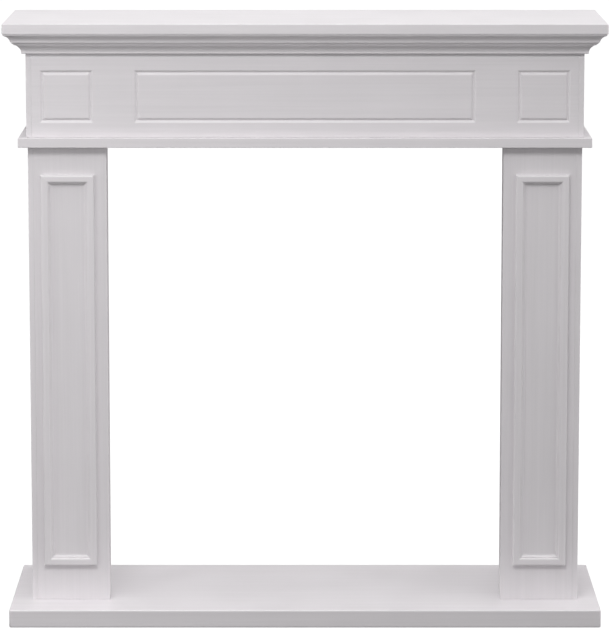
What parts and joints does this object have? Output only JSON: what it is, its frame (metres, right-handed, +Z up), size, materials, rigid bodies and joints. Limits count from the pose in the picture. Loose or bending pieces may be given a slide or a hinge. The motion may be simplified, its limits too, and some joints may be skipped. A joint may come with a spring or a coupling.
{
  "type": "fireplace mantelpiece",
  "caption": "White painted board mantelpiece: hearth base, two panelled legs, grooved frieze between a ledge and a crown moulding, and a plain top shelf.",
  "frame": {"origin": "centre of the footprint, on the underside of the hearth base", "axes": "+Z up, the front faces -Y, the back is against the wall on +Y, X along the shelf"},
  "size_m": [1, 0.34, 1.009],
  "materials": {
    "white_paint": "satin white paint on smooth board"
  },
  "bodies": {
    "root": {"hearth_base": "white_paint", "left_leg_front": "white_paint", "left_leg_side": "white_paint", "left_leg_return": "white_paint", "left_frame_top": "white_paint", "left_frame_bottom": "white_paint", "left_frame_outer": "white_paint", "left_frame_inner": "white_paint", "right_leg_front": "white_paint", "right_leg_side": "white_paint", "right_leg_return": "white_paint", "right_frame_top": "white_paint", "right_frame_bottom": "white_paint", "right_frame_outer": "white_paint", "right_frame_inner": "white_paint", "ledge": "white_paint", "frieze_board": "white_paint", "left_frieze_side": "white_paint", "right_frieze_side": "white_paint", "crown_front": "white_paint", "crown_left": "white_paint", "crown_right": "white_paint", "mantel_shelf": "white_paint"}
  },
  "joints": []
}
